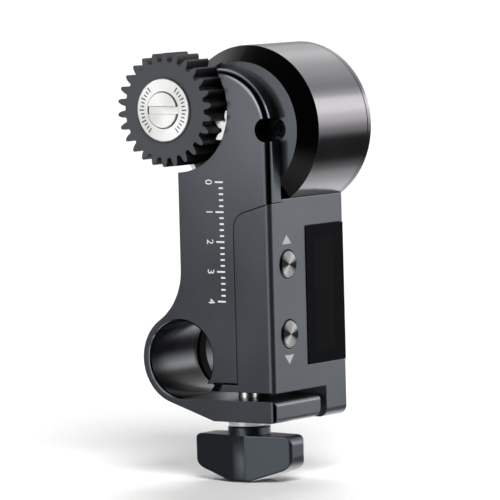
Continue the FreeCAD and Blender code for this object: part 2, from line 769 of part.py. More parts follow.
def motor_rear_cap():
    front = DRUM_SEAM + FACE_GAP
    cap = cyl_y(MOTOR_X, MOTOR_Z, DRUM_R, front, DRUM_BACK)
    cap = chamfer_rim(cap, CAP_BEVEL, DRUM_BACK)
    cap = chamfer_rim(cap, RIM_EASE, front)
    spigot = cyl_y(MOTOR_X, MOTOR_Z, DRUM_BORE_R - SEAT, DRUM_SEAM - CAP_SPIGOT, front + LAP)
    spigot = spigot.cut(cyl_y(MOTOR_X, MOTOR_Z, CAN_R + CLEAR, DRUM_SEAM - CAP_SPIGOT - PAST, front))
    cap = cap.fuse(spigot)
    for x, z in cap_screw_spots():
        cap = cap.cut(sunk_hole(x, z, DRUM_BACK, DRUM_SEAM - PAST))
    return cap


def cap_screw_spots():
    return [polar(MOTOR_X, MOTOR_Z, CAP_SCREW_CIRCLE_R, a) for a in (90, 210, 330)]


def cap_screws():
    reach = DRUM_CAP_T + CAP_THREAD - SMALL_HEAD_H + SEAT
    return Part.makeCompound([sunk_screw(x, z, DRUM_BACK, reach) for x, z in cap_screw_spots()])


def gearbox_case():
    front = DRUM_INNER + SEAT
    case = cyl_y(MOTOR_X, MOTOR_Z, CAN_R, front, CAN_FRONT)
    case = case.cut(cyl_y(MOTOR_X, MOTOR_Z, SHAFT_R + SHAFT_ROOM, front - PAST, CAN_FRONT - GEARBOX_BACK_T))
    for x, z in motor_screw_spots():
        case = case.cut(cyl_y(x, z, SHANK_R + SEAT, front - PAST, DRUM_INNER + MOTOR_THREAD + CLEAR))
    return case


def motor_can():
    can = cyl_y(MOTOR_X, MOTOR_Z, CAN_R, CAN_FRONT, CAN_BACK)
    can = chamfer_rim(can, CAN_BEVEL, CAN_BACK)
    for x, z in cap_screw_spots():
        can = can.cut(cyl_y(x, z, SMALL_SHANK_R + SEAT, DRUM_SEAM - CAP_THREAD - SEAT, CAN_BACK + PAST))
    return can


def encoder_board():
    return cyl_y(MOTOR_X, MOTOR_Z, ENCODER_R, CAN_BACK, CAN_BACK + BOARD_T)


def bearing_y(x, z, bore, outer, d0, d1):
    return cyl_y(x, z, outer, d0, d1).cut(cyl_y(x, z, bore, d0 - PAST, d1 + PAST))


def pinion_bearing():
    front = DRUM_INNER - PINION_BEARING_W
    return bearing_y(MOTOR_X, MOTOR_Z, PINION_BEARING_BORE_R, PINION_BEARING_R, front, DRUM_INNER)


def gear_bearings():
    rings = []
    for k in (0, 1):
        front = POCKET_FLOOR + CLEAR + k * GEAR_BEARING_W
        back = front + GEAR_BEARING_W
        rings.append(bearing_y(GEAR_X, GEAR_Z, GEAR_BEARING_BORE_R, GEAR_BEARING_R, front, back))
    return Part.makeCompound(rings)


# ---------------------------------------------------------------- gears
def involute_angle(base, r):
    """Polar angle of an involute where it reaches a radius, nothing below its base circle."""
    if r <= base:
        return 0.0
    t = math.sqrt((r / base) ** 2 - 1)
    return t - math.atan(t)


def tooth_half_angle(teeth, shift, r):
    """Half of a tooth's angle at a radius, in radians, for a profile shift in modules."""
    pitch = MODULE * teeth / 2
    base = pitch * math.cos(PRESSURE)
    at_pitch = (math.pi / 2 + 2 * shift * math.tan(PRESSURE)) / teeth - TOOTH_THIN / (2 * pitch)
    return at_pitch + involute_angle(base, pitch) - involute_angle(base, r)


def toothed_face(teeth, shift, arcs, centre, phase):
    """Spur gear outline: flanks of so many arcs each, rounded tips and rounded roots."""
    tip = MODULE * (teeth / 2 + 1 + shift)
    root = MODULE * (teeth / 2 - ROOT_DEPTH + shift)
    low = root + ROOT_ROUND
    rise = (tip - TIP_ROUND - low) / (2 * arcs)
    radii = [low + k * rise for k in range(2 * arcs + 1)]
    step = 2 * math.pi / teeth

    def point(r, a):
        return centre + V(r * math.cos(a), 0, r * math.sin(a))

    def arc(a, b, c):
        return Part.Arc(a, b, c).toShape()

    edges = []
    for k in range(teeth):
        c = math.radians(phase) + k * step
        up = [point(r, c - tooth_half_angle(teeth, shift, r)) for r in radii]
        down = [point(r, c + tooth_half_angle(teeth, shift, r)) for r in reversed(radii)]
        following = point(low, c + step - tooth_half_angle(teeth, shift, low))
        edges += [arc(*up[i:i + 3]) for i in range(0, 2 * arcs, 2)]
        edges.append(arc(up[-1], point(tip, c), down[0]))
        edges += [arc(*down[i:i + 3]) for i in range(0, 2 * arcs, 2)]
        edges.append(arc(down[-1], point(root, c + step / 2), following))
    return Part.Face(Part.Wire(edges))


def gear_hub(grow, d0, d1):
    """Round hub with two flats that drive the gear."""
    r = GEAR_HUB_R + grow
    half = GEAR_HUB_FLAT + grow
    hub = cyl_y(GEAR_X, GEAR_Z, r, d0, d1)
    return hub.common(box(GEAR_X - r, GEAR_X + r, d0, d1, GEAR_Z - half, GEAR_Z + half))


def output_gear():
    face = toothed_face(GEAR_TEETH, 0, 1, V(GEAR_X, at(GEAR_FRONT), GEAR_Z), GEAR_PHASE)
    blank = face.extrude(V(0, GEAR_FACE, 0))
    blank = blank.cut(cyl_y(GEAR_X, GEAR_Z, DISC_R + SEAT, GEAR_FRONT - PAST, GEAR_FRONT + DISC_SEAT))
    return blank.cut(gear_hub(SEAT, GEAR_FRONT - PAST, GEAR_FRONT + GEAR_FACE + PAST))


def gear_axle():
    front = GEAR_FRONT + DISC_SEAT + SEAT
    hub_end = GEAR_FRONT + GEAR_FACE - HUB_INSET
    bearing = POCKET_FLOOR + CLEAR
    axle = gear_hub(0, front, hub_end)
    axle = axle.fuse(cyl_y(GEAR_X, GEAR_Z, AXLE_SHOULDER_R, hub_end - LAP, bearing))
    axle = axle.fuse(cyl_y(GEAR_X, GEAR_Z, GEAR_BEARING_BORE_R - FACE_GAP, hub_end - LAP, AXLE_END))
    thread_end = GEAR_FRONT + COIN_SHANK_L + CLEAR
    return axle.cut(cyl_y(GEAR_X, GEAR_Z, COIN_SHANK_R + SEAT, front - PAST, thread_end))


def gear_disc():
    front = GEAR_FRONT - DISC_PROUD
    disc = cyl_y(GEAR_X, GEAR_Z, DISC_R, front, GEAR_FRONT + DISC_SEAT)
    disc = chamfer_rim(disc, DISC_EDGE, front)
    disc = disc.cut(cyl_y(GEAR_X, GEAR_Z, COIN_R + SEAT, front - PAST, GEAR_FRONT + COIN_SEAT))
    return disc.cut(cyl_y(GEAR_X, GEAR_Z, COIN_SHANK_R + SEAT, front - PAST, GEAR_FRONT + PAST))


def gear_screw():
    """Large flat head with a coin slot."""
    front = GEAR_FRONT - DISC_PROUD - COIN_PROUD
    head = cyl_y(GEAR_X, GEAR_Z, COIN_R, front, GEAR_FRONT + COIN_SEAT)
    head = chamfer_rim(head, DISC_EDGE, front)
    whole = head.fuse(cyl_y(GEAR_X, GEAR_Z, COIN_SHANK_R, GEAR_FRONT, GEAR_FRONT + COIN_SHANK_L))
    left = GEAR_X - COIN_R - PAST
    right = GEAR_X + COIN_R + PAST
    low = GEAR_Z - COIN_SLOT / 2
    return whole.cut(box(left, right, front - PAST, front + COIN_SLOT_DEEP, low, low + COIN_SLOT))


def pinion_phase():
    """Direction of the pinion tooth that stands in the gear's space nearest the line of centres."""
    step = 360 / GEAR_TEETH
    first = GEAR_PHASE + step / 2
    space = first + round((LINE_DEG - first) / step) * step
    return LINE_DEG + 180 - (space - LINE_DEG) * GEAR_TEETH / PINION_TEETH


def drive_pinion():
    """Steel pinion, profile-shifted outwards, with a bore for the shaft's end."""
    centre = V(MOTOR_X, at(PINION_FRONT), MOTOR_Z)
    blank = toothed_face(PINION_TEETH, PINION_SHIFT, 2, centre, pinion_phase()).extrude(V(0, PINION_FACE, 0))
    bore_end = PINION_FRONT + PINION_FACE + PAST
    return blank.cut(cyl_y(MOTOR_X, MOTOR_Z, PINION_BORE_R, PINION_FRONT - PAST, bore_end))


def output_shaft():
    neck = PINION_FRONT + PINION_FACE
    end = CAN_FRONT - GEARBOX_BACK_T - SHAFT_END_GAP
    nose = cyl_y(MOTOR_X, MOTOR_Z, PINION_BORE_R - FACE_GAP, PINION_FRONT + PINION_BORE_OPEN, neck + LAP)
    return nose.fuse(cyl_y(MOTOR_X, MOTOR_Z, SHAFT_R, neck, end))


# ---------------------------------------------------------------- side panel
def button(z):
    face = RIGHT_X + BUTTON_PROUD
    flange_top = INNER_X - FLANGE_GAP
    flange_low = flange_top - BUTTON_FLANGE_T
    cap = cyl_x(BUTTON_DEPTH, z, BUTTON_R, flange_low, face)
    cap = cap.makeChamfer(BUTTON_EDGE, pick_edges(cap, lambda e: near(e.CenterOfMass.x, face)))
    flange = cyl_x(BUTTON_DEPTH, z, BUTTON_FLANGE_R, flange_low, flange_top)
    return cap.fuse([flange, cyl_x(BUTTON_DEPTH, z, STEM_R, PLUNGER_TOP, flange_top)])


def plunger(z):
    foot = BOARD_X + BOARD_T + BUTTON_TRAVEL + PLUNGER_GAP
    return cyl_x(BUTTON_DEPTH, z, PLUNGER_R, foot, PLUNGER_TOP)


def switch_case(z):
    half = SWITCH_SIDE / 2
    board = BOARD_X + BOARD_T
    case = box(board, SWITCH_FACE, BUTTON_DEPTH - half, BUTTON_DEPTH + half, z - half, z + half)
    return case.cut(cyl_x(BUTTON_DEPTH, z, PLUNGER_R + SEAT, board + SWITCH_FLOOR, SWITCH_FACE + PAST))


def board_span():
    """Lower and upper edge of the main board."""
    return FLOOR_TOP + CORNER_ROOM_LIFT + CLEAR, CAVITY_TOP - HEAD_H - CLEAR


def circuit_board():
    low, high = board_span()
    return box(BOARD_X, BOARD_X + BOARD_T, SIDE_WALL + BOARD_EDGE, COVER_SEAT - BOARD_EDGE, low, high)


def board_chips():
    """Row of chips on the board's left face."""
    low, high = board_span()
    step = (high - low) / CHIP_COUNT
    half = CHIP_SIDE / 2
    chips = []
    for k in range(CHIP_COUNT):
        z = low + (k + 0.5) * step
        chips.append(box(BOARD_X - CHIP_T, BOARD_X, CHIP_DEPTH - half, CHIP_DEPTH + half, z - half, z + half))
    return Part.makeCompound(chips)


def screen_span():
    """Depths and heights between which the screen lies behind the window."""
    back = HOUSING_DEPTH - SCREEN_REAR
    return back - SCREEN_W, back, WINDOW_LOW_Z + SCREEN_MARGIN, WINDOW_HIGH_Z - SCREEN_MARGIN


def window_seat():
    """Recess for the window, open to the rear, and the hole behind it for the screen."""
    low = WINDOW_LOW_Z - SEAT
    high = WINDOW_HIGH_Z + SEAT
    seat = box(WINDOW_BACK_X, RIGHT_X + PAST, WINDOW_FRONT - SEAT, HOUSING_DEPTH + PAST, low, high)
    d0, d1, z0, z1 = screen_span()
    return seat.fuse(box(INNER_X - PAST, RIGHT_X, d0 - SEAT, d1 + SEAT, z0 - SEAT, z1 + SEAT))


def display_window():
    face = RIGHT_X + WINDOW_PROUD
    return box(WINDOW_BACK_X, face, WINDOW_FRONT, HOUSING_DEPTH, WINDOW_LOW_Z, WINDOW_HIGH_Z)


def display_module():
    """Screen under the window, on two legs that stand on the board."""
    d0, d1, z0, z1 = screen_span()
    panel = box(WINDOW_BACK_X - SCREEN_T, WINDOW_BACK_X, d0, d1, z0, z1)
    leg_d = d0 + LEG_MARGIN
    legs = []
    for z in (z0 + LEG_MARGIN, z1 - LEG_MARGIN - LEG_T):
        legs.append(box(BOARD_X + BOARD_T, WINDOW_BACK_X - LAP, leg_d, leg_d + LEG_W, z, z + LEG_T))
    return panel.fuse(legs)


# ---------------------------------------------------------------- thumb screw
def clamp_washer():
    middle = JAW_DEPTH / 2
    washer = cyl_z(SCREW_X, middle, WASHER_R, WASHER_BOTTOM, JAW_BOTTOM)
    return washer.cut(cyl_z(SCREW_X, middle, SCREW_R + THREAD_CLEAR, WASHER_BOTTOM - PAST, JAW_BOTTOM + PAST))


def clamp_screw():
    return cyl_z(SCREW_X, JAW_DEPTH / 2, SCREW_R, WING_TOP - KNOB_HOLE, INSERT_TOP - INSERT_SPARE)


def wing_plan():
    """Wing knob seen from above: a long hexagon, thick in the middle, with rounded edges."""
    tip = WING_TIP_T / 2
    mid = WING_MID_T / 2
    y = at(JAW_DEPTH / 2)
    corners = [
        (-WING_HALF, -tip), (0, -mid), (WING_HALF, -tip),
        (WING_HALF, tip), (0, mid), (-WING_HALF, tip),
    ]
    points = [V(SCREW_X + x, y + d, WING_TOP - WING_H) for x, d in corners]
    plan = Part.Face(Part.makePolygon(points + [points[0]])).extrude(V(0, 0, WING_H))
    upright = pick_edges(plan, lambda e: along(e, Z_AXIS))
    ends = [e for e in upright if not near(e.Vertexes[0].X, SCREW_X)]
    plan = plan.makeFillet(WING_EDGE_R, ends)
    crease = pick_edges(plan, lambda e: along(e, Z_AXIS) and near(e.Vertexes[0].X, SCREW_X))
    return plan.makeFillet(WING_CREASE_R, crease)


def wing_elevation():
    """Wing knob seen from the front: level top, upright ends, slanted underside."""
    low = WING_TOP - WING_H
    side = WING_TOP - WING_SIDE_H
    half = WING_FLAT / 2
    steps = [
        (SCREW_X - WING_HALF, WING_TOP), (SCREW_X - WING_HALF, side), (SCREW_X - half, low),
        (SCREW_X + half, low), (SCREW_X + WING_HALF, side), (SCREW_X + WING_HALF, WING_TOP),
    ]
    middle = JAW_DEPTH / 2
    slab = prism_y(steps, middle - WING_MID_T, middle + WING_MID_T)
    for r, z in ((WING_CORNER_R, WING_TOP), (WING_KNEE_R, side), (WING_CORNER_R, low)):
        edges = pick_edges(slab, lambda e: along(e, Y_AXIS) and near(e.Vertexes[0].Z, z))
        slab = slab.makeFillet(r, edges)
    return slab


def wing_knob():
    middle = JAW_DEPTH / 2
    collar = cyl_z(SCREW_X, middle, COLLAR_R, WING_TOP - COLLAR_SINK, WING_TOP + COLLAR_H)
    neck = cyl_z(SCREW_X, middle, KNOB_NECK_R, WING_TOP, WASHER_BOTTOM - FACE_GAP)
    knob = wing_plan().common(wing_elevation()).fuse([collar, neck])
    return knob.cut(cyl_z(SCREW_X, middle, SCREW_R, WING_TOP - KNOB_HOLE, JAW_BOTTOM))


# ---------------------------------------------------------------- assembly
PIECES = {
    "front_frame": front_frame,
    "thread_insert": thread_insert,
    "main_housing": main_housing,
    "rear_cover": rear_cover,
    "rear_cover_screws": cover_screws,
    "frame_screws": frame_screws,
    "arm_screws": arm_screws,
    "drum_screws": drum_screws,
    "motor_housing": motor_housing,
    "motor_rear_cap": motor_rear_cap,
    "rear_cap_screws": cap_screws,
    "gearbox_case": gearbox_case,
    "gearbox_screws": motor_screws,
    "motor_can": motor_can,
    "encoder_board": encoder_board,
    "pinion_bearing": pinion_bearing,
    "gear_bearings": gear_bearings,
    "drive_pinion": drive_pinion,
    "output_shaft": output_shaft,
    "output_gear": output_gear,
    "gear_axle": gear_axle,
    "gear_disc": gear_disc,
    "gear_screw": gear_screw,
    "circuit_board": circuit_board,
    "board_chips": board_chips,
    "display_window": display_window,
    "display_module": display_module,
    "power_socket": power_socket,
    "socket_board": socket_board,
    "clamp_washer": clamp_washer,
    "clamp_screw": clamp_screw,
    "wing_knob": wing_knob,
}

for piece_name, make in PIECES.items():
    save(piece_name, make())
for place, height in (("upper", UPPER_Z), ("lower", LOWER_Z)):
    save(place + "_button", button(height))
    save(place + "_plunger", plunger(height))
    save(place + "_switch", switch_case(height))
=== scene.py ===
"""Looks of the follow focus motor unit: finishes, printed marks, knob ribs, studio and camera.

Lengths are metres in the part's own frame: +X to the screen side, +Y to the back, +Z up.
"""
import math

import bpy
from mathutils import Matrix, Vector

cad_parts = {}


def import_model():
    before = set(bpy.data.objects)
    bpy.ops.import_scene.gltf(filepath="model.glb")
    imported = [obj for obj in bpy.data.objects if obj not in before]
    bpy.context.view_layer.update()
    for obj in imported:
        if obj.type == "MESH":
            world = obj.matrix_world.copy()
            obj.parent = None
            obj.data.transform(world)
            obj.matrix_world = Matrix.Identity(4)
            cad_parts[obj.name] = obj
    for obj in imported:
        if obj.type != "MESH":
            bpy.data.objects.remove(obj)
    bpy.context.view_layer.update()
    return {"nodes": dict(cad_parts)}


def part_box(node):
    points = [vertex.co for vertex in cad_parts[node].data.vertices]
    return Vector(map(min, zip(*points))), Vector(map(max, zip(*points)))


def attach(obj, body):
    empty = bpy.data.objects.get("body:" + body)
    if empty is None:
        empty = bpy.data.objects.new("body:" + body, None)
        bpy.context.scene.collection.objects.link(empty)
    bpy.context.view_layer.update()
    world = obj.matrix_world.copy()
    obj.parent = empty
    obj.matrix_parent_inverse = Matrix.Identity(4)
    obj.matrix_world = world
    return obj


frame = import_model()
NODES = frame["nodes"]
MM = 0.001

# ---- viewpoint, solved from the outline of the real object ----
CAMERA_YAW = math.radians(34.78)
CAMERA_PITCH = math.radians(4.13)
CAMERA_ROLL = math.radians(-1.505)
CAMERA_TARGET = Vector((11.691, 0.1, 21.167)) * MM
CAMERA_DISTANCE = 987.9 * MM
SENSOR_MM = 36.0
LENS_MM = 362.2

# ---- tints of the dark finishes ----
NEUTRAL = (1.0, 1.0, 1.0)
COOL = (0.92, 1.0, 1.12)
KNOB_TINT = (0.88, 1.0, 1.15)
DRUM_TINT = (1.0, 0.97, 1.03)
SILVER_TINT = (1.0, 1.0, 0.985)
BRASS_TINT = (1.0, 0.78, 0.4)

# ---- brightness of the dark finishes ----
FRAME_LEVEL = 0.085
HOUSING_LEVEL = 0.083
COVER_LEVEL = 0.07
DRUM_LEVEL = 0.11
KNOB_LEVEL = 0.058
GEAR_LEVEL = 0.06

# ---- clamp ring and arm ----
ROD_R = 7.5 * MM
RIM_R = 8.1 * MM          # outer edge of the bore's rim where the highlight is painted
RING_CHAMFER = 0.4 * MM
REAR_HOLE_R = 8.2 * MM
GAP_R = 11.0 * MM         # reach of the painted shade in the unlit gap behind the ring
GAP_DEPTH = 4.4 * MM      # how far behind the ring it ends
NOTCH_REACH = 8.3 * MM    # from the motor's axis to the opening over a gearbox screw
NOTCH_R = 2.3 * MM
ARM_SHADE_Z = 36.0 * MM   # above this the arm's wall gets painted shade, close in front of the drum

# ---- display ----
DISPLAY_INSET = 0.4 * MM
DISPLAY_BLUR = 0.12 * MM

# ---- printed marks, in mm; a print is a thin solid, sunk a little into its face ----
INK_T = 0.012 * MM
INK_SINK = 0.004 * MM
ARROW_LEFT, ARROW_MIDDLE, ARROW_RIGHT = 3.85, 5.43, 7.0   # back from the plate's front
ARROW_RISE = 1.8
ARROW_OFF_UP = 4.0        # from the button's centre to the arrow's base
ARROW_OFF_DOWN = 4.05
TICK_COUNT = 21
TICK_START = 11.6
TICK_PITCH = 1.17
TICK_HALF = 0.17
TICK_END_X = 11.2
TICK_LONG_X = 9.3
TICK_SHORT_X = 10.2
TICKS_PER_NUMBER = 5
NUMBER_X = 7.75
NUMBER_SIZE = 2.2
DISC_TICK_IN = 4.55
DISC_TICK_OUT = 5.35
DISC_TICK_LONG = 5.6
DISC_TICK_STEP = 8.5      # degrees
DISC_TICK_SIDE = 6        # ticks to each side of the middle of an arc
DISC_TICKS_PER_LONG = 3
DISC_TICK_HALF_IN = 0.028     # radians
DISC_TICK_HALF_OUT = 0.024

# ---- knob ribs ----
RIB_RISE = 8.95 * MM      # from the knob's low point to the top of the ribs, just under that of the wings
RIB_HALF = 1.45 * MM
RIB_PROUD = 0.003 * MM
RIB_DEPTH = 0.8 * MM      # how far a rib reaches into the knob
RIB_STEPS = 16
RIB_FOOT = [(0.5, 0.0), (0.25, 0.05), (0.1, 0.16), (0.03, 0.35)]  # mm above the knob's low point, mm inwards

# ---- floor ----
FLOOR_SIZE = 14.0
FLOOR_DROP = 0.3 * MM
FLOOR_WHITE = 0.91

# ---- studio, brightness round the front-to-back axis: (degrees up from the right, level) ----
BEHIND = [
    (-180, 0.36), (-150, 1.2), (-97, 2.0), (-75, 1.4), (-60, 0.4), (-50, 0.03), (-20, 0.03), (-9, 1.2),
    (8, 3.4), (22, 5.4), (34, 5.0), (42, 2.2), (52, 1.4), (83, 1.8), (113, 2.1), (140, 1.15), (160, 0.5),
    (180, 0.36),
]
AHEAD = [
    (-180, 0.38), (-135, 0.25), (-90, 0.4), (-52, 0.8), (-25, 0.03), (0, 0.02), (45, 0.02), (90, 0.04),
    (122, 0.12), (140, 0.7), (152, 1.3), (166, 0.5), (180, 0.38),
]
TOP_LEVEL = 6.0           # above every level in the two lists
FRONT_LEVEL = 1.15        # straight ahead, as faces seen head-on show it
BACK_LEVEL = 1.2          # straight behind, the same for the back
UNDER_LEVEL = 0.9         # low behind, as the back shows it from above
PANEL_LEVEL = 4.4         # bright panel ahead, seen in the rounded edges
SEEN_WHITE = 1.02         # the backdrop itself
FLOOR_LIGHT = 0.1         # straight overhead, as diffuse surfaces such as the floor receive it
BROAD_LIGHTS = {          # direction to the light, brightness that it gives the floor, softness in degrees
    "broad_front": ((0.575, -0.565, 0.59), 0.54, 27.0),
    "broad_back": ((-0.3, 0.62, 0.6), 0.44, 34.0),
}
SOFTBOX_SIZE = 0.03
SOFTBOXES = {             # power, place, aim
    "front_box": (0.0138, (-0.0636, -0.1488, 0.0423), (0.01, 0, 0.045)),
    "low_box": (0.0012, (-0.019, -0.118, -0.02), (0.016, 0, -0.022)),
}


# ------------------------------------------------------------------ node helpers
class Tree:
    """Short way to add and link shader nodes."""

    def __init__(self, node_tree):
        self.tree = node_tree
        self.tree.nodes.clear()

    def set(self, socket, value):
        if isinstance(value, bpy.types.NodeSocket):
            self.tree.links.new(value, socket)
        else:
            socket.default_value = value

    def add(self, kind, inputs=None, **settings):
        node = self.tree.nodes.new(kind)
        for name, value in settings.items():
            setattr(node, name, value)
        for name, value in (inputs or {}).items():
            self.set(node.inputs[name], value)
        return node

    def math(self, operation, a, b=0.0, clamp=False):
        node = self.add("ShaderNodeMath", {0: a, 1: b}, operation=operation, use_clamp=clamp)
        return node.outputs[0]

    def product(self, first, *others):
        for value in others:
            first = self.math("MULTIPLY", first, value)
        return first

    def vector(self, operation, *values, output="Vector"):
        node = self.add("ShaderNodeVectorMath", dict(enumerate(values)), operation=operation)
        return node.outputs[output]

    def split(self, vector):
        node = self.add("ShaderNodeSeparateXYZ", {0: vector})
        return [node.outputs[k] for k in ("X", "Y", "Z")]

    def smooth(self, value, low, high, out_low=0.0, out_high=1.0):
        node = self.add(
            "ShaderNodeMapRange",
            {"Value": value, "From Min": low, "From Max": high, "To Min": out_low, "To Max": out_high},
            interpolation_type="SMOOTHSTEP",
        )
        return node.outputs["Result"]

    def band(self, value, rise, fall, level=1.0):
        """The level between two eased edges, each given as (low, high), and 0 outside them."""
        return self.product(self.smooth(value, *rise), self.smooth(value, *fall, level, 0.0))

    def noise(self, vector, scale, detail=3.0, rough=0.5):
        node = self.add(
            "ShaderNodeTexNoise", {"Vector": vector, "Scale": scale, "Detail": detail, "Roughness": rough}
        )
        return node.outputs["Fac"]

    def mix(self, factor, a, b):
        """Blend of two colours: a where the factor is 0, b where it is 1."""
        node = self.add("ShaderNodeMix", {"Factor": factor}, data_type="RGBA")
        colours = [s for s in node.inputs if s.type == "RGBA"]
        for socket, value in zip(colours, (a, b)):
            self.set(socket, value)
        return [s for s in node.outputs if s.type == "RGBA"][0]

    def mix_value(self, factor, a, b):
        """Blend of two numbers: a where the factor is 0, b where it is 1."""
        part = self.math("MULTIPLY", factor, b)
        rest = self.math("MULTIPLY", self.math("SUBTRACT", 1.0, factor), a)
        return self.math("ADD", part, rest)

    def curve(self, value, stops, top):
        """Level along 0..1 through stops of (place, level), eased between them."""
        node = self.add("ShaderNodeValToRGB", {"Fac": value})
        ramp = node.color_ramp
        ramp.interpolation = "EASE"
        while len(ramp.elements) > 1:
            ramp.elements.remove(ramp.elements[-1])
        for k, (place, level) in enumerate(stops):
            element = ramp.elements[0] if k == 0 else ramp.elements.new(place)
            element.position = place
            share = level / top
            element.color = (share, share, share, 1.0)
        return self.math("MULTIPLY", node.outputs["Color"], top)


def rgb(value, tint=NEUTRAL):
    return (value * tint[0], value * tint[1], value * tint[2], 1.0)


def object_space(t):
    return t.add("ShaderNodeTexCoord").outputs["Object"]


def facing(t):
    """X, Y and Z of the way that the surface faces."""
    return t.split(t.add("ShaderNodeTexCoord").outputs["Normal"])


def start_material(name):
    material = bpy.data.materials.new(name)
    material.use_nodes = True
    return Tree(material.node_tree)


def finish_material(name, t, shader):
    output = t.add("ShaderNodeOutputMaterial")
    t.tree.links.new(shader.outputs[0], output.inputs["Surface"])
    return bpy.data.materials[name]


def principled(name, t, inputs):
    return finish_material(name, t, t.add("ShaderNodeBsdfPrincipled", inputs))


def grain_normal(t, height, strength, distance, edge):
    """Bump from a height, over edges that are softened by a small radius."""
    bevel = t.add("ShaderNodeBevel", {"Radius": edge}, samples=6)
    bump = t.add(
        "ShaderNodeBump",
        {"Strength": strength, "Distance": distance, "Height": height, "Normal": bevel.outputs[0]},
    )
    return bump.outputs["Normal"]


def centre_of(node):
    low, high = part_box(node)
    return (Vector(low) + Vector(high)) / 2


# ------------------------------------------------------------------ finishes
class Anodised:
    """Dark bead-blasted aluminium: fine grain, faint cloudiness and softened edges."""

    def __init__(self, name, level, rough, edge=0.25 * MM, tint=COOL):
        self.name = name
        self.level = level
        self.tint = tint
        self.t = start_material(name)
        self.where = object_space(self.t)
        self.cloud = self.t.noise(self.where, 90.0, 4.0)
        self.colour = self.shade(0.9, 1.12)
        self.roughness = self.t.smooth(self.cloud, 0.2, 0.8, rough * 0.92, rough * 1.1)
        self.metallic = 0.9
        self.normal = grain_normal(self.t, self.t.noise(self.where, 9000.0, 2.0), 0.06, 0.02 * MM, edge)

    def shade(self, low, high):
        """The finish's colour, cloudy between two shares of its level."""
        return self.t.mix(self.cloud, rgb(self.level * low, self.tint), rgb(self.level * high, self.tint))

    def lay(self, mask, colour):
        """Put a colour over the finish where the mask is 1."""
        self.colour = self.t.mix(mask, self.colour, colour)

    def done(self):
        inputs = {
            "Base Color": self.colour,
            "Metallic": self.metallic,
            "Roughness": self.roughness,
            "Normal": self.normal,
        }
        return principled(self.name, self.t, inputs)


def radius_from(t, where, centre=(0.0, 0.0, 0.0)):
    """Distance from the line along Y through the centre."""
    x, _, z = t.split(t.vector("SUBTRACT", where, centre))
    flat = t.add("ShaderNodeCombineXYZ", {"X": x, "Y": 0.0, "Z": z})
    return t.vector("LENGTH", flat.outputs[0], output="Value")


def within(t, value, low, high):
    """1 below low, 0 above high."""
    return t.smooth(value, low, high, 1.0, 0.0)


def frame_finish():
    """Body finish with painted shade in the bore, along the ring's rear edge, in the notch and on the arm's
    wall, and a painted highlight on part of the bore's rim.
    """
    finish = Anodised("frame_finish", FRAME_LEVEL, 0.3, edge=0.2 * MM)
    t, where = finish.t, finish.where
    front_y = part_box("front_frame")[0][1]
    ring_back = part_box("front_frame")[1][1]
    x, y, z = t.split(where)
    radius = radius_from(t, where)
    depth = t.math("SUBTRACT", y, front_y)
    _, face_y, face_z = facing(t)
    lean = t.math("ABSOLUTE", face_y)

    # the bore: painted shade, darkest near its mouth and along its bottom
    bore = within(t, radius, ROD_R + 0.06 * MM, ROD_R + 0.12 * MM)
    deep = t.smooth(depth, 0.4 * MM, 6.0 * MM)
    bore_shade = t.mix(deep, rgb(FRAME_LEVEL * 0.12, COOL), finish.shade(0.38, 0.48))
    bore_shade = t.mix(t.smooth(face_z, 0.2, 0.55), bore_shade, rgb(FRAME_LEVEL * 0.03, COOL))
    finish.lay(bore, bore_shade)

    # painted shade, near black, along the ring's rear edge by the gap behind it
    tail_start = ring_back - front_y - RING_CHAMFER - 0.35 * MM
    rear_edge_shade = t.product(
        t.smooth(depth, tail_start, tail_start + 0.1 * MM),
        within(t, radius, ROD_R + 0.7 * MM, ROD_R + 0.8 * MM),
    )
    finish.lay(rear_edge_shade, rgb(FRAME_LEVEL * 0.04, COOL))

    # painted shade on the arm's wall, close in front of the drum
    high_up = t.smooth(z, ARM_SHADE_Z, ARM_SHADE_Z + 5.0 * MM)
    finish.lay(t.product(within(t, lean, 0.02, 0.15), high_up), rgb(FRAME_LEVEL * 0.25, COOL))

    # painted shade, black, in the notch over a gearbox screw
    motor = centre_of("gearbox_case")
    from_notch = radius_from(t, where, (motor.x + NOTCH_REACH, 0.0, motor.z))
    notch_shade = within(t, from_notch, NOTCH_R + 0.02 * MM, NOTCH_R + 0.06 * MM)
    finish.lay(notch_shade, rgb(0.001))

    # painted highlight on the left part of the bore's front rim, broken up by noise
    rim_highlight = t.product(
        t.band(depth, (0.03 * MM, 0.08 * MM), (0.16 * MM, 0.26 * MM)),
        within(t, radius, RIM_R - 0.1 * MM, RIM_R),
        within(t, x, -4.0 * MM, -1.0 * MM),
        t.smooth(t.noise(where, 700.0, 3.0), 0.25, 0.5),
    )
    finish.lay(rim_highlight, rgb(0.22, COOL))

    # the rounded edges are polished, and the notch is matt
    edge = t.band(lean, (0.02, 0.15), (0.97, 0.999))
    faces = t.mix_value(edge, finish.roughness, 0.13)
    finish.roughness = t.mix_value(notch_shade, t.mix_value(bore, faces, 0.22), 0.8)
    finish.metallic = t.mix_value(rim_highlight, t.mix_value(edge, 0.9, 1.0), 0.2)
    return finish.done()


def housing_finish():
    """Body finish with painted shade: darker in the rear hole, and matt near black in the gap behind the
    clamp ring, where no light falls.
    """
    finish = Anodised("housing_finish", HOUSING_LEVEL, 0.3)
    t, where = finish.t, finish.where
    ring_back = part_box("front_frame")[1][1]
    _, y, _ = t.split(where)
    radius = radius_from(t, where)
    # painted shade inside the rear hole
    finish.lay(within(t, radius, REAR_HOLE_R + 0.06 * MM, REAR_HOLE_R + 0.12 * MM), finish.shade(0.36, 0.44))
    # painted shade, near black and matt, in the gap behind the clamp ring
    gap_end = ring_back + GAP_DEPTH
    gap_shade = t.product(
        within(t, radius, GAP_R - 0.5 * MM, GAP_R + 0.5 * MM),
        within(t, y, gap_end - 0.1 * MM, gap_end + 0.1 * MM),
    )
    finish.lay(gap_shade, rgb(HOUSING_LEVEL * 0.05, COOL))
    finish.roughness = t.mix_value(gap_shade, finish.roughness, 0.9)
    return finish.done()


